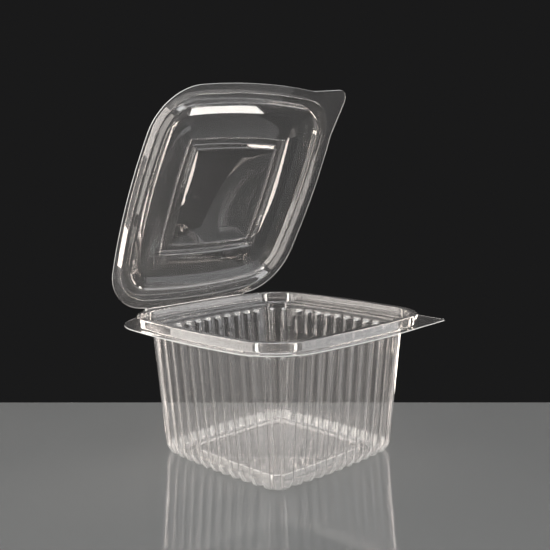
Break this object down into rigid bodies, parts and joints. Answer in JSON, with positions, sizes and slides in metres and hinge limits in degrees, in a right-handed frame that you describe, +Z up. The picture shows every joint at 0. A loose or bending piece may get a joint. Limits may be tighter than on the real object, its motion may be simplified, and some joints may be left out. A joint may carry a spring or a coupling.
{
  "type": "plastic clamshell pack",
  "caption": "Clear hinged food pack: a square tub with fluted tapering walls and a hollow rim, and a shallow domed lid on a live hinge that closes over the rim.",
  "frame": {"origin": "middle of the foot, on the surface that the pack stands on", "axes": "+Z up, +Y towards the hinge, +X along the hinge line, with the pull tabs at the +X, -Y corner"},
  "size_m": [0.13, 0.1314, 0.1874],
  "materials": {
    "clear_sheet": "clear glossy formed sheet"
  },
  "bodies": {
    "tub": {"tub": "clear_sheet"},
    "lid": {"lid": "clear_sheet"}
  },
  "joints": [
    {"name": "lid_hinge", "type": "hinge", "parent": "tub", "child": "lid", "pos_m": [0, 0.0662, 0.0701], "axis": [-1, 0, 0], "range_deg": [-64, 116]}
  ]
}
